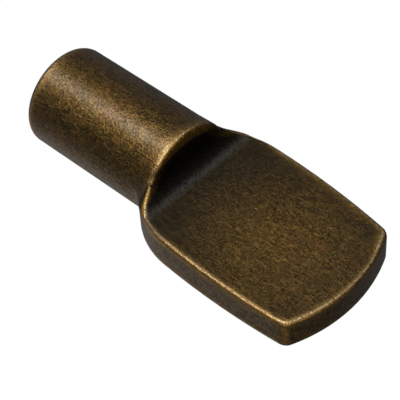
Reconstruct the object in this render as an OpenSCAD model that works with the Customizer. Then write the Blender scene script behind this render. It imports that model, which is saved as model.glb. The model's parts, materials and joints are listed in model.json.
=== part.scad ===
// Shelf support pin, spoon pattern: a round pin for a drilled hole and a flat seat that
// carries the shelf, forged as one piece. X runs along the pin towards the seat's outer end,
// Z points up to the shelf. The origin is on the pin's axis, in the face of the cabinet's
// side, where the seat's flare stops the pin.

/* [Pin] */
// Diameter of the pin that goes into the cabinet's side
pin_d = 5; // [4:0.05:6.4]
// Length of the pin that goes into the hole
pin_l = 7; // [5:0.1:12]
// Swelling of the neck, outside the hole, up to the shoulder
neck_swell = 0.03; // [0.01:0.01:0.1]
// Rounding of the pin's tip
tip_r = 0.4; // [0.1:0.02:0.8]
// Rounding along the arched rim of the shoulder
rim_r = 0.2; // [0.1:0.02:0.5]

/* [Seat] */
// Reach of the seat from the shoulder to its outer end
seat_l = 9.55; // [8:0.05:14]
// Width of the seat at its widest place
seat_w = 7.6; // [6.8:0.05:10]
// Thickness of the seat at the shoulder
root_t = 1.85; // [1.4:0.05:2]
// Thickness of the seat at its outer end
end_t = 1.65; // [1.2:0.05:2]
// Height of the seat's top above the pin's axis, at the shoulder
seat_rise = 0.3; // [0:0.05:0.6]
// How far the seat's top slopes down from the shoulder to the outer end
seat_drop = 0.78; // [0:0.02:0.9]
// Distance of the widest place from the shoulder
widest_x = 3.8; // [3:0.1:5]
// How far each side draws in from the widest place to the outer corner
side_bow = 0.33; // [0.15:0.01:0.6]
// How far the outer end bulges past its corners
end_bow = 0.8; // [0.3:0.05:1.2]
// Rounding of the seat's upper edges
edge_r = 0.2; // [0.1:0.01:0.26]
// Rounding of the seat's lower edges
under_r = 0.26; // [0.1:0.02:0.28]
// Rounding of the seat's outer corners, seen from above
corner_r = 0.28; // [0.26:0.02:0.8]

/* [Transition] */
// Distance from the shoulder to the centre of the seat's round root
root_x = 2.1; // [1.8:0.1:2.8]
// Radius of the valley between the shoulder and the seat
valley_r = 1.05; // [0.5:0.05:1.1]
// How far the flare beside the valley leans in for each millimetre that it rises
flare_lean = 0.7; // [0.6:0.05:1]
// Length of the heel that fades from the pin's belly into the underside
heel_l = 3.1; // [1.5:0.1:5]

/* [Hidden] */

$fn = 96;
pin_r = pin_d / 2;
under_z = seat_rise - root_t;
valley_top = seat_rise + valley_r;
shoulder_r = pin_r + neck_swell;
// Level at which the heel and the rim of the shoulder part, inside the seat
part_z = under_z / 2;
// Slopes of the top and of the underside: how far they fall for each millimetre outwards
top_slope = seat_drop / seat_l;
under_slope = (seat_drop + end_t - root_t) / seat_l;

// Plan of the seat: two side arcs, an end arc, and a root circle that touches both side arcs
side_c = [widest_x, seat_w / 2 - arc_r(seat_l - end_bow - widest_x, side_bow)];
side_r = arc_r(seat_l - end_bow - widest_x, side_bow);
end_r = arc_r(seat_w / 2 - side_bow, end_bow);
end_c = [seat_l - end_r, 0];
root_c = [root_x, 0];
root_r = side_r - norm(root_c - side_c);
// Direction of the point where root circle and side arc touch, and of the seat's corner
touch_a = atan2(-side_c.y, root_x - widest_x);
corner = meeting(side_c, side_r - corner_r, end_c, end_r - corner_r);
corner_a = atan2(corner.y - side_c.y, corner.x - side_c.x);
// Where the lines of rounding centres of the corner and of the end arc join
arc_end = corner + (corner_r - edge_r) * (corner - end_c) / norm(corner - end_c);
// The flare starts inside the pin, narrow enough to lie within it
start_w = 0.85 * sqrt(pin_r * pin_r - under_z * under_z);
start_x = root_x - sqrt(root_r * root_r - start_w * start_w);
// Where the valley begins behind the shoulder's face, so that the two cross
run_in = 0.03;
// Length of the neck, from the cabinet's side to the shoulder: as far as the flare reaches
// back along the pin, and a little air
AIR = 0.05;
neck_l = sqrt(root_r * root_r - pin_r * pin_r + under_z * under_z) - root_x + AIR;

// Steps of the loft
HIDDEN_STEPS = 5;
VALLEY_STEPS = 10;
ROOT_STEPS = 6;
SIDE_STEPS = 8;
ROUND_STEPS = 4;
ACROSS_STEPS = 12;
// Last angle of the rounding towards the end face, short of a point
LAST_ROUND = 78;
// Half the gap left between the two arcs of the upper edge, which the flare pulls apart
ARC_GAP = 2.5;

// Radius of an arc over a half chord and a rise
function arc_r(half_chord, rise) = (half_chord * half_chord + rise * rise) / (2 * rise);

// Evenly spaced values from a to b
function steps(a, b, n) = [for (i = [0:n]) a + (b - a) * i / n];

// The meeting point, on the +Y side, of two circles with centres p and q
function meeting(p, rp, q, rq) =
    let (d = norm(q - p), u = (q - p) / d)
    let (along = (d * d + rp * rp - rq * rq) / (2 * d))
    let (aside = sqrt(rp * rp - along * along))
    p + along * u + aside * [-u.y, u.x] * sign(u.x);

// Height of the top at x: level inside the pin, then down the valley to the seat
function top_z(x) =
    x < 0 ? valley_top
    : x < valley_r ? valley_top - sqrt(valley_r * valley_r - pow(valley_r - x, 2))
    : seat_rise;

// Lowers a point of the level loft, so that top and underside slope down outwards
function sloped(p) =
    let (depth = min(1, max(0, (seat_rise - p.z) / root_t)))
    [p.x, p.y, p.z - max(0, p.x) * (top_slope + depth * (under_slope - top_slope))];

// Half width of the round root at x
function root_y(x) = sqrt(root_r * root_r - pow(x - root_x, 2));

// A station of the loft: plan point of the edge's rounding centre, plan normal of the side,
// height of the top, and how far the section bends towards the end arc, from 0 to 1
function root_station(x) = [[x, root_y(x) - edge_r], [0, 1], top_z(x), 0];
function side_station(a) =
    let (n = [cos(a), sin(a)])
    [side_c + (side_r - edge_r) * n, n, seat_rise, (touch_a - a) / (touch_a - corner_a)];

touch_x = root_x + root_r * cos(touch_a);
stations = concat(
    [for (x = steps(start_x, -run_in, HIDDEN_STEPS)) root_station(x)],
    [for (b = steps(0, 90, VALLEY_STEPS)) if (b > 0) root_station(valley_r * (1 - cos(b)))],
    [for (x = steps(valley_r, touch_x, ROOT_STEPS)) if (x > valley_r && x < touch_x) root_station(x)],
    [for (a = steps(touch_a, corner_a, SIDE_STEPS)) side_station(a)]
);
last = stations[len(stations) - 1];

// Rounding directions down one side, as [centre, elevation]: 0 for the upper edge's inner
// centre, 1 for its outer one, 2 for the lower edge, which is rounder
flare_a = atan(flare_lean);
side_turns = concat(
    [for (t = steps(90, flare_a + ARC_GAP, 3)) [0, t]],
    [for (t = steps(flare_a - ARC_GAP, 0, 3)) [1, t]],
    [for (t = steps(0, -90, 5)) [2, t]]
);

// Plan normal of the end arc at fraction v of its half width
function end_normal(v) =
    let (y = v * arc_end.y / (end_r - edge_r))
    [sqrt(1 - y * y), y];

// Plan point at fraction v across a station's line of rounding centres
function across(s, v) =
    let (end = end_c + (end_r - edge_r) * end_normal(v))
    [s[0].x + s[3] * (end.x - last[0].x), v * s[0].y + s[3] * (end.y - v * last[0].y)];

// Direction from a rounding centre: elevation e at the side, turned by f towards the end
function direction(s, v, e, f) =
    let (flat = cos(f) * cos(e) * s[1] * (v < 1 ? 0 : 1) + sin(f) * end_normal(v))
    let (up = cos(f) * sin(e), size = norm(flat))
    size < 1e-6 ? [0, 0, up] : [flat.x, flat.y, 0] * sqrt(1 - up * up) / size + [0, 0, up];

// Points down the +Y side of a station turned by f
function side_points(s, f) = [
    for (t = side_turns)
        let (out = direction(s, 1, 0, f))
        let (corner_shift = (corner_r - edge_r) * (out - direction(s, 1, 0, 0)))
        let (rise = s[2] - seat_rise)
        let (centre = t[0] == 0 ? [0, -flare_lean * rise, s[2] - edge_r]
            : t[0] == 1 ? [0, 0, seat_rise - edge_r]
            : [0, 0, under_z + under_r] - (under_r - edge_r) * out)
        let (r = t[0] == 2 ? under_r : edge_r)
        [s[0].x, s[0].y, 0] + corner_shift + centre + r * direction(s, 1, t[1], f)
];

// Points of the top or the underside between the sides, from +Y to -Y
function flat_points(s, f, upper) = [
    for (i = [1:ACROSS_STEPS - 1])
        let (v = 1 - 2 * i / ACROSS_STEPS)
        let (p = across(s, v), narrow = (s[0].y - flare_lean * (s[2] - seat_rise)) / s[0].y)
        let (inset = s[3] * (under_r - edge_r) * end_normal(v))
        upper ? [p.x, narrow * p.y, s[2] - edge_r] + edge_r * direction(s, v, 90, f)
            : [p.x - inset.x, p.y - inset.y, under_z + under_r] + under_r * direction(s, v, -90, f)
];

function reversed(list) = [for (i = [len(list) - 1:-1:0]) list[i]];
function mirrored(list) = [for (p = list) [p.x, -p.y, p.z]];

// One closed ring: down the +Y side, across the underside, up the -Y side, back over the top
function ring(s, f) = concat(
    side_points(s, f),
    flat_points(s, f, false),
    reversed(mirrored(side_points(s, f))),
    reversed(flat_points(s, f, true))
);

// Faces that close a ring of n points, the first of them at base: strips between the top and
// the underside, and a fan at each side
function closing(base, n) =
    let (side_n = len(side_turns), last = ACROSS_STEPS - 2)
    let (lower = [for (i = [0:last]) base + side_n + i])
    let (upper = [for (i = [0:last]) base + n - 1 - i])
    concat(
        [for (i = [0:last - 1])
            each [[upper[i], lower[i], lower[i + 1]], [upper[i], lower[i + 1], upper[i + 1]]]],
        [for (i = [0:side_n - 1]) [upper[0], base + i, base + i + 1]],
        [for (i = [0:side_n - 1]) [upper[last], lower[last] + i, lower[last] + i + 1]]
    );

// Seat, valley floor and flare, lofted through all the stations, with the shoulder at x = 0
module blade() {
    rings = concat(
        [for (s = stations) ring(s, 0)],
        [for (f = steps(0, LAST_ROUND, ROUND_STEPS)) if (f > 0) ring(last, f)]
    );
    n = len(rings[0]);
    m = len(rings);
    polyhedron(
        points = [for (r = rings, p = r) sloped(p)],
        faces = concat(
            [for (f = closing(0, n)) reversed(f)],
            [for (k = [0:m - 2], i = [0:n - 1])
                let (a = k * n + i, b = k * n + (i + 1) % n)
                each [[a, b, b + n], [a, b + n, a + n]]],
            closing((m - 1) * n, n)
        ),
        convexity = 4
    );
}

// Revolves a profile, drawn as radius and distance along the axis, about the pin's axis
module about_axis() {
    rotate([0, 90, 0]) rotate_extrude() children();
}

// Half space above or below the level where heel and rim part
module level_half(upper) {
    span = 2 * heel_l + 2 * pin_d;
    translate([-span / 2, -span / 2, upper ? part_z : part_z - span]) cube([span, span, span]);
}

// Shank with its rounded tip, and the neck up to where the rim's rounding starts
module shank() {
    tip_x = -neck_l - pin_l;
    about_axis() {
        translate([0, tip_x]) square([pin_r - tip_r, pin_l]);
        translate([0, tip_x + tip_r]) square([pin_r, pin_l - tip_r]);
        translate([pin_r - tip_r, tip_x + tip_r]) circle(tip_r);
        polygon([[0, -neck_l], [pin_r, -neck_l], [shoulder_r, -rim_r], [0, -rim_r]]);
    }
}

// Upper part of the shoulder, with the rounded arch over the seat
module arch() {
    intersection() {
        about_axis() {
            translate([0, -rim_r]) square([shoulder_r - rim_r, rim_r]);
            intersection() {
                translate([shoulder_r - rim_r, -rim_r]) circle(rim_r);
                translate([0, -rim_r]) square([shoulder_r, rim_r]);
            }
        }
        level_half(true);
    }
}

// Lower part, which fades from the pin's belly into the underside of the seat
module heel() {
    fade_r = arc_r(heel_l, shoulder_r + under_z - under_slope * heel_l);
    intersection() {
        about_axis() {
            translate([0, -rim_r]) square([shoulder_r, rim_r]);
            intersection() {
                translate([shoulder_r - fade_r, 0]) circle(fade_r);
                square([shoulder_r, heel_l + edge_r]);
            }
        }
        level_half(false);
    }
}

// The whole support pin
module shelf_pin() {
    color("#6b5230") translate([neck_l, 0, 0]) {
        shank();
        arch();
        heel();
        blade();
    }
}

shelf_pin();
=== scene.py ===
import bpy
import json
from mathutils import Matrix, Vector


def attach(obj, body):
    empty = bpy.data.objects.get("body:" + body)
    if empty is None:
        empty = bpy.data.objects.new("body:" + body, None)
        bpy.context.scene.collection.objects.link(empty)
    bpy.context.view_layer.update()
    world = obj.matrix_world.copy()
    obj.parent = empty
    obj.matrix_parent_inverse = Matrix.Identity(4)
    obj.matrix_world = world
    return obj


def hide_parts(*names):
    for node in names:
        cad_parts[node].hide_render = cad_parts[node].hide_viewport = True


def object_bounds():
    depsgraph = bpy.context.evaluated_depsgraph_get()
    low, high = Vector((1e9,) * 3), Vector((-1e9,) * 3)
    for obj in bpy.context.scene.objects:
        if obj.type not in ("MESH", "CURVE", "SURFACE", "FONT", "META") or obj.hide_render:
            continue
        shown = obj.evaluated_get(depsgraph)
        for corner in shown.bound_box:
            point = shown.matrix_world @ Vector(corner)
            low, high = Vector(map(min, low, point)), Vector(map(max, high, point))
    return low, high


bl_info = {
    "name": "Shelf Support Pin",
    "version": (1, 0, 0),
    "blender": (4, 5, 0),
    "location": "View3D > Sidebar > Shelf Pin",
    "description": "Builds a spoon-shaped shelf support pin in antique brass",
    "category": "Add Mesh",
}

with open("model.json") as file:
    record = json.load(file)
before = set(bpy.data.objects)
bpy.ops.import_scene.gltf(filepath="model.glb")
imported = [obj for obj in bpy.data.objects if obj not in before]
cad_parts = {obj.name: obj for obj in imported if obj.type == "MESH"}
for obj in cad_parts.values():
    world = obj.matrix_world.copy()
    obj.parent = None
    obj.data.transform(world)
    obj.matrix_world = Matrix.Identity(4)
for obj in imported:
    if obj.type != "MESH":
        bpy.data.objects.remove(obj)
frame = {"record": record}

import json
import math

import bpy
import numpy as np
from mathutils import Matrix, Vector

NODE = "shelf_pin"
BODY = "root"
MM = 0.001

# The studio's soft lights: name, direction, spread in degrees and tint
SOFT_LIGHTS = (
    ("key", (-0.45, -0.24, 0.86), 8, (1.0, 0.98, 0.95)),
    ("strip", (0.08, -0.36, 0.93), 14, (1.0, 0.98, 0.95)),
    ("fill", (0.22, 0.47, 0.85), 13, (1.0, 0.99, 0.97)),
    ("back", (-0.42, 0.80, 0.20), 22, (1.0, 0.99, 0.97)),
    ("side", (-0.85, -0.15, 0.50), 28, (1.0, 0.98, 0.95)),
    ("low", (-0.54, -0.28, -0.76), 22, (1.0, 0.96, 0.90)),
    ("bounce", (0.20, 0.72, -0.66), 22, (1.0, 0.98, 0.95)),
    ("front", (0.68, -0.68, 0.26), 22, (1.0, 0.96, 0.90)),
    ("rim", (0.85, -0.06, 0.52), 13, (1.0, 0.97, 0.92)),
)

# Camera: width of its sensor in mm, and how far it sees as a ratio of its distance
SENSOR_WIDTH = 36.0
CLIP_RATIO = 100
# Half the floor's width, in diagonals of the piece
FLOOR_SPANS = 40

# Rounds of evening and settling the mesh, and the least slope that settling divides by
RELAX_ROUNDS = 2
SETTLE_ROUNDS = 4
LEAST_SLOPE = 0.5

# Further from any edge than wear reaches
FAR = 2 * MM
# The worn line of a rounded rim lies down its wall, this share of the rounding from the edge
ROUND_SHARE = 0.8

# The place that shelves have rubbed most, and how far its gleam and the shade round it reach
RUBBED_SPOT = (7.2 * MM, -0.3 * MM, 0.0)
SPOT_REACH = (0.0, 4.0 * MM)
SHADE_REACH = (0.5 * MM, 6.0 * MM)
# A dark dot of painted shade at the small seam at each side where the arch runs into the flare
SEAM_SHADE_SPOT = (1.15 * MM, 2.31 * MM, 1.06 * MM)
SEAM_SHADE_REACH = (0.05 * MM, 0.09 * MM)

# Noises of the patina: features to a mm, detail, roughness, warp, offset in m, stretch
NOISES = {
    "clouds": (0.35, 3.0, 0.6, 0.3, (0, 0, 0), (1, 1, 1)),
    "mottle": (1.6, 4.0, 0.65, 0.4, (0.03, 0.01, 0.02), (1, 1, 1)),
    "hue": (1.1, 3.0, 0.6, 0.3, (0.02, 0.06, 0.01), (1, 1, 1)),
    "speckle": (10.0, 3.0, 0.8, 0.0, (0, 0, 0), (1, 1, 1)),
    "pits": (11.0, 2.0, 0.7, 0.0, (0.01, 0.02, 0.05), (1, 1, 1)),
    "clumps": (4.0, 2.0, 0.6, 0.0, (0.05, 0.01, 0.03), (1, 1, 1)),
    "drawn": (8.0, 2.0, 0.5, 0.0, (0, 0, 0), (0.12, 0.12, 1.0)),
    "brushed": (11.0, 2.0, 0.5, 0.0, (0, 0, 0), (0.08, 1.0, 1.0)),
}
GRAINS_PER_MM = 16.0
# Curved hair lines: lines to a mm, width of a line as a level of the noise, and seed
HAIR_LINES = ((1.6, 0.02, 3.0), (3.2, 0.04, 11.0))
HAIR_BREAKS = (0.45, 0.6)
# Straight scratches: turn in degrees, seed and strength
SCRATCHES = ((8, 2.0, 1.0), (-14, 7.0, 1.0), (65, 5.0, 0.6))
SCRATCHES_PER_MM = 22.0
SCRATCH_STRETCH = 0.07
SCRATCH_LEVELS = (0.68, 0.76)

# How thin the patina is rubbed all over, and what the pin, the spot and each mark add
RUBBED = 0.34
RUBBED_PIN = 0.04
RUBBED_MORE = 0.16
LEAST_RUBBED = 0.1
DRAWN_MARKS = 0.6
HAIR_MARKS = 0.7
SCRATCH_MARKS = 0.6
# How far each pattern swings the rubbing, the roughness and the gloss, and raises the surface
RUBBED_BY = {"clouds": 0.5, "mottle": 0.8, "clumps": 0.4, "speckle": 0.8, "grain": 0.9}
ROUGHER_BY = {"mottle": 0.2, "clumps": -0.3}
GLOSSIER_BY = {"grain": 1.0, "clumps": 1.2}
RAISED_BY = {"pits": 2.0, "clumps": 2.0, "speckle": 1.0, "hairs": -0.3, "scuffs": -0.3}
BRUSHED_GLOSS = 2.0
# How much of the gloss is left on the step
STEP_SHINE = 0.4
LINE_POLISH = 0.05
BUMP_DEPTH = 0.02 * MM
COAT_ROUGHNESS = 0.2

# Levels of a noise between which a look comes in, and the strength of the stains
RUST_LEVELS = (0.52, 0.66)
STAIN_LEVELS = (0.47, 0.6)
PIT_LEVELS = (0.36, 0.5)
STAIN = 0.45
TIP_STAIN = 0.5
SHADE = 0.9
# How much of the amber stays in the pits
PITTED_AMBER = 0.35

# Stretches over which a look comes in or fades. Upwardness is a cosine, the rest is in mm
UPWARD = (0.6, 0.9)
# Along the piece, from the cabinet's side
TIP_STAINED = (-6.8, -5.6)
TIP_WORN = (-5.0, -3.0)
PAST_CABINET = (0.0, 0.6)
PAST_SHOULDER = (1.1, 1.3)
SEAT_OPENS = (1.9, 3.6)
FLARE_ENDS = (2.8, 4.0)
OUTER_END = (9.2, 9.8)
# Across the piece, and above the pin's axis
FAR_SIDE = (1.5, 2.8)
ARCH_OPENS = (1.3, 2.1)
ARCH_WORN = (1.5, 2.0)
ARCH_CROWN = (1.0, 2.4)
# From the shoulder's face out into the hollow
STEP_FACE = (0.05, 0.35)
STEP_LINE = (0.05, 0.2)
STEP_GLOSS = (0.1, 0.7)
# Painted shade: black in the hollow out to here, partly oxide and partly standing in for the shade
# of the recess
SOOT_AND_SHADE_DEPTH = (0.4, 1.15)
BRUSHED_UP_TO = (1.0, 1.8)

# The bare line along the edges, in mm from the edge: positive on tops, negative on walls
LINE_AT = 0.02
LINE_CORE = 0.01
LINE_REACH = 0.045
LINE_WIDENS = 0.3
SHELTERED_SHIFT = 0.06
SHELTERED_LINE = 0.4
FAR_SHIFT = 0.1
END_SHIFT = 0.045
ARCH_SHIFT = 0.08
WANDER_BY = {"speckle": 0.1, "mottle": 0.05}

# The amber brass beside the line: strengths, and fading in mm or for each mm
TOP_AMBER = 0.6
TOP_OFFSET = 0.01
TOP_SHIFT = 0.6
TOP_FADE = 12.0
TOP_FADE_DOWN = (0.0, 0.08)
# On the shoulder's step the amber is partly painted light: bright near the arched rim, reaching
# further down at the crown, fading into the hollow
STEP_AMBER_AND_LIGHT = (0.15, 0.5)
STEP_LIGHT_CROWN = (0.25, 0.6)
WALL_AMBER = 0.7
WALL_FLARE = 0.3
WALL_END = 0.35
WALL_FADE = (0.1, 0.5)
WALL_FLARE_FADE = 0.1
SHELTERED_AMBER = 0.2
SHELTERED_EDGE = 0.6
SHELTERED_WALL = (0.0, 0.1)
SHELTERED_TOP = (0.03, 0.13)
CORNER_AMBER = 0.6
CORNER_FADE = (0.08, 0.26)

# The glow beside the rims of the pin: strengths, and fading for each mm
HALO = 0.5
HALO_TIP = 0.35
HALO_FADE = 5.0
HALO_TIP_FADE = 2.0
# Painted highlight: pale brass colour beside the arched rim and at the tip, where the key light
# falls
PALE_HIGHLIGHT = 0.3
PALE_HIGHLIGHT_TIP = 0.1
PALE_HIGHLIGHT_FADE = (0.0, 0.1)

CAD_LOW, CAD_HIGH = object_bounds()
MOUNTS = {m["name"]: m for m in frame["record"]["mounts"]}
PIN_R = MOUNTS["pin"]["dims"]["r_mm"] * MM
SEAT_UP = MOUNTS["shelf_seat"]["axis"]
SEAT_AT = MOUNTS["shelf_seat"]["pos_m"]
TOP_SLOPE = SEAT_UP[0] / SEAT_UP[2]


def length(name, description, default):
    """A length property in metres, shown to a hundredth of a millimetre."""
    return bpy.props.FloatProperty(
        name=name, description=description, default=default,
        precision=5, unit="LENGTH", subtype="DISTANCE",
    )


def factor(name, description, default, high=1.0):
    """A plain number property from 0 to high."""
    return bpy.props.FloatProperty(
        name=name, description=description, default=default,
        min=0.0, max=high, subtype="FACTOR",
    )


def colour(name, description, default):
    """A linear colour property."""
    return bpy.props.FloatVectorProperty(
        name=name, description=description, default=default,
        min=0.0, max=4.0, size=3, subtype="COLOR",
    )


class PinShape(bpy.types.PropertyGroup):
    """Sizes of the forged piece."""

    neck: length("Neck", "From the cabinet's side to the shoulder", 1.154 * MM)
    swell: length("Neck swell", "Growth of the neck's radius up to the shoulder", 0.03 * MM)
    tip_round: length("Tip rounding", "Rounding of the pin's tip", 0.4 * MM)
    rim_round: length("Rim rounding", "Rounding of the shoulder's arched rim", 0.2 * MM)
    root_thickness: length("Root thickness", "Thickness of the seat at the shoulder", 1.85 * MM)
    end_thickness: length("End thickness", "Thickness of the seat at its outer end", 1.65 * MM)
    widest: length("Widest place", "From the shoulder to the seat's widest place", 3.8 * MM)
    side_bow: length("Side bow", "How far a side draws in towards the corner", 0.33 * MM)
    end_bow: length("End bow", "How far the outer end bulges past its corners", 0.8 * MM)
    edge_round: length("Edge rounding", "Rounding of the seat's upper edges", 0.2 * MM)
    under_round: length("Lower rounding", "Rounding of the seat's lower edges", 0.26 * MM)
    corner_round: length("Corner rounding", "Rounding of the outer corners from above", 0.28 * MM)
    root_centre: length("Root centre", "From the shoulder to the round root's centre", 2.1 * MM)
    valley: length("Valley radius", "Fillet between the shoulder and the seat", 1.05 * MM)
    flare_lean: factor("Flare lean", "How far the flare leans in for its rise", 0.7, 2.0)
    heel: length("Heel length", "How far the pin's belly fades into the underside", 3.1 * MM)
    inner_blend: length("Inner fillet", "Fillet where the arch meets the seat's hollow", 0.07 * MM)
    outer_blend: length("Outer fillet", "Fillet where the pin runs out into the flare", 0.3 * MM)
    cell: length("Mesh cell", "Size of the mesh's faces", 0.067 * MM)


class BrassFinish(bpy.types.PropertyGroup):
    """Colours and wear of the antique brass."""

    patina: colour("Patina", "Dark brown of the plated and stained surface", (0.050, 0.029, 0.0065))
    golden: colour("Golden tint", "Where the patina is rubbed thin", (0.38, 0.22, 0.048))
    rust: colour("Rust", "Redder patches of the patina", (0.30, 0.14, 0.030))
    smoke: colour("Smoke", "Dull stain on the walls and in the root", (0.042, 0.032, 0.016))
    # Black oxide of the hollow, also used as painted shade on the step, in the valley and at the
    # seams
    soot_and_shade: colour("Soot", "Black stain that stays in the hollow", (0.005, 0.004, 0.001))
    # Also the colour of the painted light on the shoulder's step
    amber: colour("Amber", "Brass beside the worn edges", (0.78, 0.43, 0.085))
    # Also the colour of the painted pale highlight beside the pin's rims
    bright: colour("Worn brass", "Bare brass along the worn edges", (0.80, 0.58, 0.32))
    wear: factor("Edge wear", "How far the edges are worn bright", 0.9)
    roughness: factor("Roughness", "Roughness of the patina", 0.32)
    gloss: factor("Gloss", "Strength of the clear lacquer", 0.9)
    grain: factor("Grain", "Depth of the fine grain", 0.6)


class StudioSetup(bpy.types.PropertyGroup):
    """Floor, light and camera."""

    floor: colour("Floor", "Colour of the floor and of the backdrop", (1.0, 1.0, 1.0))
    surround: factor("Surround", "Brightness of the unlit studio round the piece", 0.04, 4.0)
    key: factor("Key light", "Main soft light, above the pin", 4.0, 50.0)
    strip: factor("Strip light", "Carries the main light on over the seat", 3.2, 50.0)
    fill: factor("Fill light", "Soft light above and behind the seat", 0.7, 50.0)
    back: factor("Back light", "Wide light behind the pin", 0.07, 50.0)
    side: factor("Side light", "Light beyond the pin's tip", 0.17, 50.0)
    low: factor("Low light", "Light off the table, below the pin", 0.21, 50.0)
    bounce: factor("Bounce light", "Light off the table, beyond the seat's end", 0.03, 50.0)
    front: factor("Front light", "Light in front of the seat's outer corner", 1.3, 50.0)
    rim: factor("Rim light", "Small light beyond the seat's end, for the arched rim", 1.0, 50.0)
    azimuth: bpy.props.FloatProperty(
        name="Azimuth", description="Camera's angle round the piece, 0 looks along +Y",
        default=math.radians(46.14), subtype="ANGLE",
    )
    elevation: bpy.props.FloatProperty(
        name="Elevation", description="Camera's angle above the horizon",
        default=math.radians(47.474), subtype="ANGLE",
    )
    roll: bpy.props.FloatProperty(
        name="Roll", description="Camera's turn about its own line of sight",
        default=math.radians(-4.147), subtype="ANGLE",
    )
    distance: length("Distance", "From the camera to the point it looks at", 72.381 * MM)
    aside: length("Offset aside", "Shift of the camera to its left", -0.076 * MM)
    below: length("Offset below", "Shift of the camera downwards", 0.388 * MM)
    aim_x: length("Aim", "Place along the piece that the camera looks at", 1.718 * MM)
    aim_z: length("Aim height", "Height of the point that the camera looks at", -0.8 * MM)
    focal: bpy.props.FloatProperty(
        name="Focal length", description="Camera's focal length on a 36 mm sensor",
        default=143.68, unit="CAMERA",
    )


# Distance fields: negative inside, positive outside, in metres


def joined(a, b, fillet):
    """Union of two fields with a concave fillet."""
    u, v = np.maximum(fillet - a, 0), np.maximum(fillet - b, 0)
    return np.maximum(fillet, np.minimum(a, b)) - np.hypot(u, v)


def shared(a, b, rounding):
    """Intersection of two fields with a rounded edge."""
    u, v = np.maximum(a + rounding, 0), np.maximum(b + rounding, 0)
    return np.minimum(-rounding, np.maximum(a, b)) + np.hypot(u, v)


def arc_radius(half_chord, rise):
    """Radius of an arc over a half chord and a rise."""
    return (half_chord**2 + rise**2) / (2 * rise)


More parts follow.
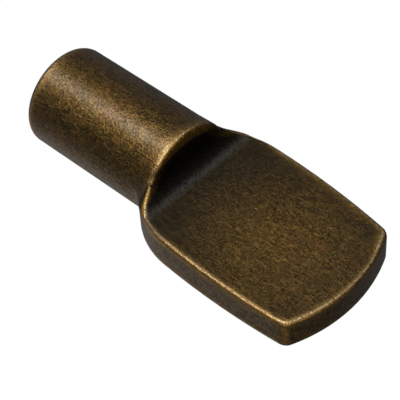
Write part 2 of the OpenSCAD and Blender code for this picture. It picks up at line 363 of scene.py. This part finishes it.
class PinField:
    """Distance field of the whole piece, worked out from its sizes and the CAD's box."""

    def __init__(self, s):
        self.s = s
        low, high = CAD_LOW, CAD_HIGH
        self.tip, self.end, self.half_w = low.x, high.x, high.y
        self.seat_top = SEAT_AT[2] + (SEAT_AT[0] - s.neck) * TOP_SLOPE
        reach = self.end - s.neck
        self.under_slope = TOP_SLOPE - (s.root_thickness - s.end_thickness) / reach
        half_chord = reach - s.end_bow - s.widest
        self.side_r = arc_radius(half_chord, s.side_bow)
        self.side_c = np.array([s.neck + s.widest, self.half_w - self.side_r])
        self.end_r = arc_radius(self.half_w - s.side_bow, s.end_bow)
        self.end_c = self.end - self.end_r
        self.root_x = s.neck + s.root_centre
        self.root_r = self.side_r - math.hypot(self.root_x - self.side_c[0], self.side_c[1])
        away = np.array([self.root_x, 0.0]) - self.side_c
        self.touch_x = self.root_x + self.root_r * away[0] / np.hypot(*away)
        self.shoulder_r = PIN_R + s.swell

    def top(self, x):
        """Height of the seat's plane at x."""
        return self.seat_top - TOP_SLOPE * np.maximum(x - self.s.neck, 0)

    def under(self, x):
        """Height of the underside at x."""
        start = self.seat_top - self.s.root_thickness
        return start - self.under_slope * np.maximum(x - self.s.neck, 0)

    def outline(self, x, y):
        """Fields of the seat's sides and of its end, from above."""
        root = np.hypot(x - self.root_x, y) - self.root_r
        side = np.hypot(x - self.side_c[0], np.abs(y) - self.side_c[1]) - self.side_r
        end = np.hypot(x - self.end_c, y) - self.end_r
        return np.where(x < self.touch_x, root, side), end

    def blade_faces(self, x, y, z):
        """Fields of the blade's upper face, its flank and its underside."""
        s = self.s
        side, end = self.outline(x, y)
        plan = np.where(x < self.touch_x, side, shared(side, end, s.corner_round))
        rise = z - self.top(x)
        lean = math.hypot(1, s.flare_lean)
        flank = np.maximum(plan, (plan + s.flare_lean * rise) / lean)
        floor = rise / math.hypot(1, TOP_SLOPE)
        behind = x - s.neck + s.inner_blend / 3
        upper = np.maximum(joined(floor, behind, s.valley), rise - s.valley)
        lower = (self.under(x) - z) / math.hypot(1, self.under_slope)
        return upper, flank, lower

    def blade(self, x, y, z):
        """Seat, valley floor and flare, cut off inside the neck."""
        upper, flank, lower = self.blade_faces(x, y, z)
        edged = shared(upper, flank, self.s.edge_round)
        edged = shared(edged, lower, self.s.under_round)
        return np.maximum(edged, -x - self.s.neck / 2)

    def shank(self, x, rho):
        """Pin with its rounded tip, neck and arched shoulder."""
        s = self.s
        grow = np.clip(x / (s.neck - s.rim_round), 0, 1)
        wall = rho - PIN_R - s.swell * grow
        pin = shared(wall, self.tip - x, s.tip_round)
        return shared(pin, x - s.neck, s.rim_round)

    def heel(self, x, z, rho):
        """Belly that fades into the underside."""
        s = self.s
        fade = self.shoulder_r + self.under(s.neck + s.heel)
        fade_r = arc_radius(s.heel, fade)
        arc = np.hypot(x - s.neck, rho - self.shoulder_r + fade_r) - fade_r
        belly = np.where(x < s.neck, rho - self.shoulder_r, arc)
        inside_neck = s.neck - 1.5 * s.rim_round - x
        half_way_down = (self.seat_top - s.root_thickness) / 2
        return np.maximum(np.maximum(belly, inside_neck), z - half_way_down)

    def rim(self, x, y, z):
        """Signed way to the nearest edge: positive on tops and ends, negative on walls."""
        s, far = self.s, -self.end
        rho = np.hypot(y, z)
        upper, flank, lower = self.blade_faces(x, y, z)
        on_blade = (np.abs(self.blade(x, y, z)) < s.cell) & (x > s.neck - s.valley)
        on_top = on_blade & (np.maximum(upper, flank) > -s.edge_round / 2)
        on_under = on_blade & (np.maximum(lower, flank) > -s.under_round / 2)
        on_shank = np.abs(self.shank(x, rho)) < s.cell
        clear_of_seat = self.seat_top + 0.3 * s.valley
        arched = on_shank & (z > clear_of_seat)
        ways = np.stack([
            np.where(on_top, upper - flank, far),
            np.where(on_under, lower - flank, far),
            np.where(arched, x - s.neck - rho + self.shoulder_r + s.rim_round * ROUND_SHARE, far),
            np.where(on_shank, self.tip - x - rho + PIN_R + s.tip_round * ROUND_SHARE, far),
        ])
        nearest = np.abs(ways).argmin(0)
        return np.clip(ways[nearest, np.arange(len(nearest))], -FAR, FAR)

    def corner(self, x, y, z):
        """Way to the nearest upright corner of the seat."""
        return np.where(x > self.touch_x, np.hypot(*self.outline(x, y)), FAR)

    def hollow(self, x, y, z):
        """Way from the shoulder's face for points in or before the hollow, far for others."""
        inside = (x > self.s.neck - self.s.rim_round) & (z > self.top(x) - self.s.edge_round)
        return np.where(inside, x - self.s.neck, self.end)

    def __call__(self, x, y, z):
        rho = np.hypot(y, z)
        round_part = np.minimum(self.shank(x, rho), self.heel(x, z, rho))
        widens_from, widens_over = 0.85 * PIN_R, 0.2 * PIN_R
        outward = np.clip((np.abs(y) - widens_from) / widens_over, 0, 1)
        fillet = self.s.inner_blend + outward * (self.s.outer_blend - self.s.inner_blend)
        return joined(round_part, self.blade(x, y, z), fillet)


def surface_nets(field, low, high, cell):
    """Points and four-sided faces of the surface where the field is zero.

    The grid reaches two cells past the box, and mirrors about the middle plane.
    """
    axes = [np.arange(a - 2 * cell, b + 3 * cell, cell) for a, b in zip(low, high)]
    axes[1] = cell * (np.arange(len(axes[1])) - len(axes[1]) // 2 + 0.5)
    grid = np.meshgrid(*axes, indexing="ij")
    value = field(*grid)
    inside = value < 0
    cells = tuple(n - 1 for n in value.shape)
    count = np.zeros(cells, int)
    corners = [(i, j, k) for i in (0, 1) for j in (0, 1) for k in (0, 1)]

    def block(array, corner):
        return array[tuple(slice(c, c + n) for c, n in zip(corner, cells))]

    for corner in corners:
        count += block(inside, corner)
    active = np.argwhere((count > 0) & (count < 8))
    index = np.full(cells, -1)
    index[tuple(active.T)] = np.arange(len(active))
    total, hits = np.zeros((len(active), 3)), np.zeros(len(active))
    for a in corners:
        for axis in range(3):
            if a[axis]:
                continue
            b = tuple(c + (n == axis) for n, c in enumerate(a))
            va = value[tuple((active + a).T)]
            vb = value[tuple((active + b).T)]
            cut = (va < 0) != (vb < 0)
            share = np.where(cut, va / np.where(cut, va - vb, 1), 0)
            total += cut[:, None] * np.array(a)
            total[:, axis] += share * cut
            hits += cut
    origin = np.array([a[0] for a in axes])
    points = origin + cell * (active + total / hits[:, None])
    faces = []
    for axis in range(3):
        u, v = (axis + 1) % 3, (axis + 2) % 3
        ahead = np.roll(inside, -1, axis)
        edges = np.argwhere(inside != ahead)
        edges = edges[(edges[:, u] > 0) & (edges[:, v] > 0)]
        du, dv = np.eye(3, dtype=int)[u], np.eye(3, dtype=int)[v]
        ring = [edges - du - dv, edges - dv, edges, edges - du]
        quad = np.stack([index[tuple(r.T)] for r in ring], axis=1)
        flip = ~inside[tuple(edges.T)]
        quad[flip] = quad[flip][:, ::-1]
        faces.append(quad)
    return points, np.concatenate(faces)


def gradient(field, points, step):
    """Slope of the field at points."""
    return np.stack([
        (field(*(points + d).T) - field(*(points - d).T)) / (2 * step)
        for d in np.eye(3) * step
    ], axis=1)


def settle(field, points, step):
    """Moves points onto the surface along the field's slope."""
    for _ in range(SETTLE_ROUNDS):
        slope = gradient(field, points, step)
        size = np.maximum((slope**2).sum(1), LEAST_SLOPE**2)
        points = points - (field(*points.T) / size)[:, None] * slope
    return points


def relax(points, faces, times):
    """Evens the faces by moving points towards their neighbours' middle."""
    pairs = np.concatenate([faces[:, [i, (i + 1) % 4]] for i in range(4)])
    degree = np.bincount(pairs[:, 0], minlength=len(points))[:, None]
    for _ in range(times):
        total = np.zeros_like(points)
        for axis in range(3):
            total[:, axis] = np.bincount(
                pairs[:, 0], weights=points[pairs[:, 1], axis], minlength=len(points))
        points = (points + total / degree) / 2
    return points


class Signal:
    """A number that varies over a surface, built up by plain arithmetic."""

    def __init__(self, nodes, socket):
        self.nodes, self.socket = nodes, socket

    def math(self, operation, a, b=0.0, c=0.0):
        """The result of a Math node."""
        return self.nodes.add("ShaderNodeMath", {"operation": operation}, {0: a, 1: b, 2: c})

    def __add__(self, other):
        return self.math("ADD", self, other)

    __radd__ = __add__

    def __sub__(self, other):
        return self.math("SUBTRACT", self, other)

    def __rsub__(self, other):
        return self.math("SUBTRACT", other, self)

    def __mul__(self, other):
        return self.math("MULTIPLY", self, other)

    __rmul__ = __mul__

    def __truediv__(self, other):
        return self.math("DIVIDE", self, other)

    def clamped(self):
        """Kept between 0 and 1."""
        return self.nodes.add(
            "ShaderNodeClamp", {}, {"Value": self, "Min": 0.0, "Max": 1.0})

    def swing(self, size):
        """How far a noise is from its middle level, times a size."""
        return (self - 0.5) * size

    def lifted(self, low):
        """Low where the signal is 0, and still 1 where it is 1."""
        return low + (1 - low) * self

    def between(self, low, high):
        """0 at low, 1 at high, smooth in between."""
        return self.nodes.add(
            "ShaderNodeMapRange", {"interpolation_type": "SMOOTHSTEP"},
            {"Value": self, "From Min": low, "From Max": high})

    def fading(self, low, high):
        """1 at low, 0 at high, smooth in between."""
        return 1 - self.between(low, high)

    def distance_from(self, level):
        return self.math("ABSOLUTE", self - level)

    def larger(self, other):
        return self.math("MAXIMUM", self, other)

    def smaller(self, other):
        return self.math("MINIMUM", self, other)


class NodeSet:
    """Adds nodes to a material's tree."""

    def __init__(self, tree):
        self.tree = tree
        tree.nodes.clear()

    def add(self, kind, settings, values, output=0):
        """Adds a node of a type, with its settings and its sockets' values or links."""
        node = self.tree.nodes.new(kind)
        for name, value in settings.items():
            setattr(node, name, value)
        for name, value in values.items():
            self.plug(node.inputs[name], value)
        return Signal(self, node.outputs[output]) if node.outputs else None

    def plug(self, socket, value):
        """Links a signal to a socket, or sets a plain value on it."""
        if isinstance(value, Signal):
            self.tree.links.new(value.socket, socket)
        else:
            socket.default_value = value

    def mix(self, share, a, b, blend="MIX"):
        """Colour a where share is 0 and colour b where it is 1, unless blend says otherwise."""
        settings = {"data_type": "RGBA", "blend_type": blend}
        return self.add("ShaderNodeMix", settings, {0: share, 6: rgba(a), 7: rgba(b)}, 2)

    def dot(self, a, b):
        return self.add("ShaderNodeVectorMath", {"operation": "DOT_PRODUCT"}, {0: a, 1: b}, 1)

    def reach(self, a, b):
        """Distance between two points."""
        return self.add("ShaderNodeVectorMath", {"operation": "DISTANCE"}, {0: a, 1: b}, 1)

    def exp(self, value):
        """e to the power of a value."""
        return self.add("ShaderNodeMath", {"operation": "EXPONENT"}, {0: value})

    def noise(self, place, per_mm, detail=2.0, roughness=0.5, warp=0.0):
        return self.add(
            "ShaderNodeTexNoise", {},
            {"Vector": place, "Scale": per_mm / MM, "Detail": detail,
             "Roughness": roughness, "Distortion": warp})

    def grains(self, place, per_mm):
        """A number from 0 to 1 for each tiny grain, at random."""
        tint = self.add("ShaderNodeTexVoronoi", {}, {"Vector": place, "Scale": per_mm / MM}, 1)
        return self.dot(tint, (1, 0, 0))

    def shifted(self, place, offset, stretch=(1, 1, 1), turn=(0, 0, 0)):
        """A place in a pattern: scaled, turned and moved."""
        return self.add(
            "ShaderNodeMapping", {"vector_type": "POINT"},
            {"Vector": place, "Location": offset, "Rotation": turn, "Scale": stretch})

    def attribute(self, name):
        """A number kept on the mesh's points."""
        return self.add("ShaderNodeAttribute", {"attribute_name": name}, {}, 2)


def rgba(value):
    """A colour as a colour socket takes it."""
    return value if isinstance(value, Signal) or len(value) == 4 else (*value, 1.0)


def hair_lines(nodes, place, per_mm, width, seed):
    """Fine curved scratches: thin level lines of a noise, broken up by another."""
    here = nodes.shifted(place, (seed * MM, -seed * MM, 2 * seed * MM))
    field = nodes.noise(here, per_mm, detail=1.0, roughness=0.4, warp=0.6)
    line = field.distance_from(0.5).fading(0.0, width)
    return line * nodes.noise(here, per_mm * 1.7, detail=0.0).between(*HAIR_BREAKS)


def scratches(nodes, place, turn, seed, strength):
    """Short, thin, nearly straight scratches that run one way."""
    offset = (seed * MM, seed * MM, -seed * MM)
    here = nodes.shifted(place, offset, (SCRATCH_STRETCH, 1, 1), (0, 0, math.radians(turn)))
    return nodes.noise(here, SCRATCHES_PER_MM, detail=0.0).between(*SCRATCH_LEVELS) * strength


def strongest(signals):
    """The largest of several signals."""
    first, *others = signals
    for other in others:
        first = first.larger(other)
    return first


def swung(value, patterns, weights):
    """A value that patterns swing up and down, each by its weight."""
    for name, weight in weights.items():
        value = value + patterns[name].swing(weight)
    return value


def patina_patterns(nodes, place):
    """Noises, grains and scratches of the patina, by name."""
    patterns = {
        name: nodes.noise(nodes.shifted(place, offset, stretch), per_mm, detail, rough, warp)
        for name, (per_mm, detail, rough, warp, offset, stretch) in NOISES.items()
    }
    patterns["grain"] = nodes.grains(place, GRAINS_PER_MM)
    patterns["hairs"] = strongest(hair_lines(nodes, place, *line) for line in HAIR_LINES)
    patterns["scuffs"] = strongest(scratches(nodes, place, *run) for run in SCRATCHES)
    return patterns


def edge_wear(nodes, place, patterns, on_pin, depth):
    """Masks of the bare line along the edges, with a painted pale highlight beside the pin's rims,
    and of the amber brass beside it, with painted light on the shoulder's step.
    """
    along, across, height = (nodes.dot(place, axis) for axis in np.eye(3) / MM)
    exposed = height.between(*ARCH_OPENS).larger(along.between(*SEAT_OPENS))
    exposed = exposed.larger(along.fading(*PAST_CABINET))
    on_step = depth.fading(*STEP_FACE)
    crown = height.between(*ARCH_CROWN)
    on_flare = along.fading(*FLARE_ENDS)
    at_end = along.between(*OUTER_END)
    at_tip = along.fading(*TIP_WORN)
    far_side = across.between(*FAR_SIDE) * (1 - on_pin)

    shift = far_side * FAR_SHIFT + at_end * END_SHIFT + height.between(*ARCH_WORN) * ARCH_SHIFT
    wander = swung(0.0, patterns, WANDER_BY)
    way = nodes.attribute("rim") + wander
    down = way * -1
    line_at = LINE_AT + shift - (1 - exposed) * SHELTERED_SHIFT
    line = way.distance_from(line_at).fading(LINE_CORE, LINE_REACH + shift * LINE_WIDENS)
    line = line * exposed.larger(depth.between(*STEP_LINE)).lifted(SHELTERED_LINE)

    past_line = way - TOP_OFFSET - line_at - shift * TOP_SHIFT
    top_amber = nodes.exp(past_line.larger(0.0) * -TOP_FADE)
    top_amber = top_amber * down.between(*TOP_FADE_DOWN).lifted(TOP_AMBER)
    # Painted light: on the step the amber brightens near the arched rim, further at the crown,
    # standing in for light the hollow lacks
    step_low, step_high = (low + crown * more for low, more in zip(STEP_AMBER_AND_LIGHT, STEP_LIGHT_CROWN))
    step_amber_and_light = way.fading(step_low, step_high)
    top_amber = top_amber * (1 - on_step) + step_amber_and_light * on_step

    wall_amber = WALL_AMBER + on_flare * WALL_FLARE - at_end * WALL_END
    fade_from, fade_to = WALL_FADE
    wall_amber = wall_amber * down.fading(fade_from + on_flare * WALL_FLARE_FADE, fade_to)
    halo = on_pin * nodes.exp(down.larger(0.0) * (at_tip * -HALO_TIP_FADE - HALO_FADE))
    wall_amber = wall_amber * (1 - on_pin) + halo * (HALO + HALO_TIP * at_tip)

    amber = top_amber.smaller(wall_amber)
    open_wall = exposed.larger(down.between(*SHELTERED_WALL))
    open_wall = open_wall.larger(SHELTERED_EDGE * way.fading(*SHELTERED_TOP))
    amber = amber * open_wall.lifted(SHELTERED_AMBER)
    corner = nodes.attribute("corner") + wander
    amber = amber.larger(CORNER_AMBER * corner.fading(*CORNER_FADE))
    # Painted highlight: pale brass beside the pin's rims, merged into the worn line's mask
    pale = exposed * way.fading(*PALE_HIGHLIGHT_FADE) * PALE_HIGHLIGHT + at_tip * PALE_HIGHLIGHT_TIP
    return line.larger(halo * pale), amber


def antique_brass(finish):
    """Darkened brass plating, mottled, grained, scratched and rubbed bright at the edges, with
    painted shade in the hollow and the seams, and painted light on the step and beside the pin's
    rims.
    """
    material = bpy.data.materials.new("antique_brass")
    material.use_nodes = True
    nodes = NodeSet(material.node_tree)
    place = nodes.add("ShaderNodeTexCoord", {}, {}, 3)
    facing = nodes.add("ShaderNodeTexCoord", {}, {}, 1)
    upward = nodes.dot(facing, (0, 0, 1)).between(*UPWARD)
    along = nodes.dot(place, (1 / MM, 0, 0))
    on_pin = along.fading(*PAST_SHOULDER)
    depth = nodes.attribute("hollow")
    patterns = patina_patterns(nodes, place)
    line, amber = edge_wear(nodes, place, patterns, on_pin, depth)

    from_spot = nodes.reach(place, RUBBED_SPOT)
    spot = from_spot.fading(*SPOT_REACH) * upward
    rubbed = RUBBED + on_pin * RUBBED_PIN + spot * RUBBED_MORE
    rubbed = swung(rubbed, patterns, RUBBED_BY)
    rubbed = rubbed + patterns["drawn"].swing(1) * (1 - upward) * DRAWN_MARKS
    rubbed = rubbed + patterns["hairs"] * HAIR_MARKS + patterns["scuffs"] * SCRATCH_MARKS
    rubbed = rubbed.larger(LEAST_RUBBED).clamped()
    colour = nodes.mix(rubbed, finish.patina, finish.golden)
    colour = nodes.mix(patterns["hue"].between(*RUST_LEVELS) * rubbed, colour, finish.rust)

    stain = (0.5 * patterns["clouds"] + 0.5 * patterns["mottle"]).between(*STAIN_LEVELS) * STAIN
    stain = stain.larger(TIP_STAIN * along.fading(*TIP_STAINED))
    shade = from_spot.between(*SHADE_REACH) * upward * (1 - on_pin)
    colour = nodes.mix(stain.larger(shade * SHADE), colour, finish.smoke)
    # Painted shade: the step and the valley go black, partly oxide and partly the shade of the
    # recess
    colour = nodes.mix(depth.fading(*SOOT_AND_SHADE_DEPTH), colour, finish.soot_and_shade)

    pitted = patterns["pits"].between(*PIT_LEVELS)
    # Amber beside the worn edges, with the painted light on the shoulder's step in the same share
    share = amber * finish.wear * pitted.lifted(PITTED_AMBER)
    colour = nodes.mix(share, colour, finish.amber)
    # The worn line's mask also carries the painted pale highlight beside the pin's rims
    colour = nodes.mix(line * finish.wear * pitted, colour, finish.bright)
    # Painted shade: a dark dot in the notch at each seam between the arch and the flare
    seam_x, seam_y, seam_z = SEAM_SHADE_SPOT
    to_seam_shade = nodes.reach(place, SEAM_SHADE_SPOT).smaller(nodes.reach(place, (seam_x, -seam_y, seam_z)))
    colour = nodes.mix(to_seam_shade.fading(*SEAM_SHADE_REACH), colour, finish.soot_and_shade)

    height = sum(patterns[name] * weight for name, weight in RAISED_BY.items())
    bump = nodes.add(
        "ShaderNodeBump", {},
        {"Strength": finish.grain, "Distance": BUMP_DEPTH, "Height": height})
    brushed = patterns["brushed"].swing(1) * depth.fading(*BRUSHED_UP_TO)
    gloss = swung(finish.gloss, patterns, GLOSSIER_BY) + brushed * BRUSHED_GLOSS
    gloss = gloss.clamped() * depth.between(*STEP_GLOSS).lifted(STEP_SHINE)
    roughness = swung(finish.roughness, patterns, ROUGHER_BY) - line * LINE_POLISH
    shader = nodes.add(
        "ShaderNodeBsdfPrincipled", {},
        {"Base Color": colour, "Metallic": 1.0, "Roughness": roughness, "Normal": bump,
         "Coat Weight": gloss, "Coat Roughness": COAT_ROUGHNESS})
    nodes.add("ShaderNodeOutputMaterial", {}, {"Surface": shader})
    return material


def backdrop_paint(paint):
    """Plain paint that glows by itself, so that the floor and the backdrop look alike."""
    material = bpy.data.materials.new("floor_paint")
    material.use_nodes = True
    nodes = NodeSet(material.node_tree)
    shader = nodes.add(
        "ShaderNodeBsdfPrincipled", {},
        {"Base Color": (0, 0, 0, 1), "Roughness": 1.0, "Specular IOR Level": 0.0,
         "Emission Color": rgba(paint), "Emission Strength": 1.0})
    nodes.add("ShaderNodeOutputMaterial", {}, {"Surface": shader})
    return material


class SHELFPIN_OT_pin(bpy.types.Operator):
    """Add the support pin with its finish"""

    bl_idname = "shelfpin.pin"
    bl_label = "Support Pin"

    def execute(self, context):
        shape = context.scene.pin_shape
        field = PinField(shape)
        points, faces = surface_nets(field, CAD_LOW, CAD_HIGH, shape.cell)
        points = relax(points, faces, RELAX_ROUNDS)
        points = settle(field, points, shape.cell / 8)
        points = np.clip(points, CAD_LOW, CAD_HIGH)
        mesh = bpy.data.meshes.new("pin_skin")
        mesh.from_pydata(points.tolist(), [], faces.tolist())
        mesh.validate()
        marks = {
            "rim": field.rim(*points.T) / MM,
            "corner": field.corner(*points.T) / MM,
            "hollow": field.hollow(*points.T) / MM,
        }
        for name, value in marks.items():
            layer = mesh.attributes.new(name, "FLOAT", "POINT")
            layer.data.foreach_set("value", value.astype(np.float32))
        mesh.shade_smooth()
        piece = bpy.data.objects.new("support_pin", mesh)
        context.scene.collection.objects.link(piece)
        mesh.materials.append(antique_brass(context.scene.brass_finish))
        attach(piece, BODY)
        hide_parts(NODE)
        return {"FINISHED"}


def studio_world(studio):
    """Dim studio with wide soft lights round it, and a plain pale backdrop for the camera."""
    world = bpy.data.worlds.new("studio")
    world.use_nodes = True
    bpy.context.scene.world = world
    nodes = NodeSet(world.node_tree)
    toward = nodes.add("ShaderNodeTexCoord", {}, {})
    light = (*[studio.surround] * 3, 1.0)
    for name, direction, spread, tint in SOFT_LIGHTS:
        facing = nodes.dot(toward, Vector(direction).normalized())
        glow = nodes.exp((facing - 1) / math.radians(spread) ** 2)
        strength = getattr(studio, name)
        light = nodes.mix(glow, light, [strength * t for t in tint], "ADD")
    studio_light = nodes.add("ShaderNodeBackground", {}, {"Color": light})
    backdrop = nodes.add("ShaderNodeBackground", {}, {"Color": rgba(studio.floor)})
    seen = nodes.add("ShaderNodeLightPath", {}, {})
    both = nodes.add("ShaderNodeMixShader", {}, {0: seen, 1: studio_light, 2: backdrop})
    nodes.add("ShaderNodeOutputWorld", {}, {"Surface": both})


def aimed_camera(studio):
    """Camera with its roll, set off a little from the line to its aim."""
    cos, sin = math.cos, math.sin
    az, el, roll = studio.azimuth, studio.elevation, studio.roll
    back = Vector((cos(el) * sin(az), -cos(el) * cos(az), sin(el)))
    right = (-back).cross(Vector((0, 0, 1))).normalized()
    up = right.cross(-back)
    x_axis = cos(roll) * right + sin(roll) * up
    y_axis = cos(roll) * up - sin(roll) * right
    aim = Vector((studio.aim_x, 0, studio.aim_z))
    place = aim + back * studio.distance - x_axis * studio.aside - y_axis * studio.below
    data = bpy.data.cameras.new("camera")
    data.lens, data.sensor_width = studio.focal, SENSOR_WIDTH
    data.clip_start = studio.distance / CLIP_RATIO
    data.clip_end = studio.distance * CLIP_RATIO
    camera = bpy.data.objects.new("camera", data)
    bpy.context.scene.collection.objects.link(camera)
    turn = Matrix((x_axis, y_axis, back)).transposed().to_4x4()
    camera.matrix_world = Matrix.Translation(place) @ turn
    bpy.context.scene.camera = camera


class SHELFPIN_OT_stage(bpy.types.Operator):
    """Add the floor, the lights and the camera"""

    bl_idname = "shelfpin.stage"
    bl_label = "Studio"

    def execute(self, context):
        studio = context.scene.studio_setup
        span = (CAD_HIGH - CAD_LOW).length
        middle = (CAD_LOW + CAD_HIGH) / 2
        half = FLOOR_SPANS * span
        corners = [(-half, -half), (half, -half), (half, half), (-half, half)]
        mesh = bpy.data.meshes.new("floor")
        mesh.from_pydata(
            [(middle.x + x, middle.y + y, CAD_LOW.z) for x, y in corners], [], [(0, 1, 2, 3)])
        mesh.materials.append(backdrop_paint(studio.floor))
        floor = bpy.data.objects.new("floor", mesh)
        context.scene.collection.objects.link(floor)
        floor.visible_diffuse = floor.visible_glossy = floor.visible_shadow = False
        studio_world(studio)
        aimed_camera(studio)
        context.scene.view_settings.view_transform = "Standard"
        return {"FINISHED"}


class SHELFPIN_PT_panel(bpy.types.Panel):
    """Lists the sizes, the finish and the steps"""

    bl_label = "Shelf Pin"
    bl_idname = "SHELFPIN_PT_panel"
    bl_space_type = "VIEW_3D"
    bl_region_type = "UI"
    bl_category = "Shelf Pin"

    def draw(self, context):
        for group in ("pin_shape", "brass_finish", "studio_setup"):
            box = self.layout.box()
            settings = getattr(context.scene, group)
            for name in settings.bl_rna.properties.keys():
                if name not in ("rna_type", "name"):
                    box.prop(settings, name)
        for step in (SHELFPIN_OT_pin, SHELFPIN_OT_stage):
            self.layout.operator(step.bl_idname)


CLASSES = (
    PinShape, BrassFinish, StudioSetup,
    SHELFPIN_OT_pin, SHELFPIN_OT_stage, SHELFPIN_PT_panel,
)
GROUPS = {"pin_shape": PinShape, "brass_finish": BrassFinish, "studio_setup": StudioSetup}


def register():
    for cls in CLASSES:
        bpy.utils.register_class(cls)
    for name, group in GROUPS.items():
        setattr(bpy.types.Scene, name, bpy.props.PointerProperty(type=group))


def unregister():
    for name in GROUPS:
        delattr(bpy.types.Scene, name)
    for cls in reversed(CLASSES):
        bpy.utils.unregister_class(cls)


def main():
    register()
    bpy.ops.shelfpin.pin()
    bpy.ops.shelfpin.stage()


if __name__ == "__main__":
    main()
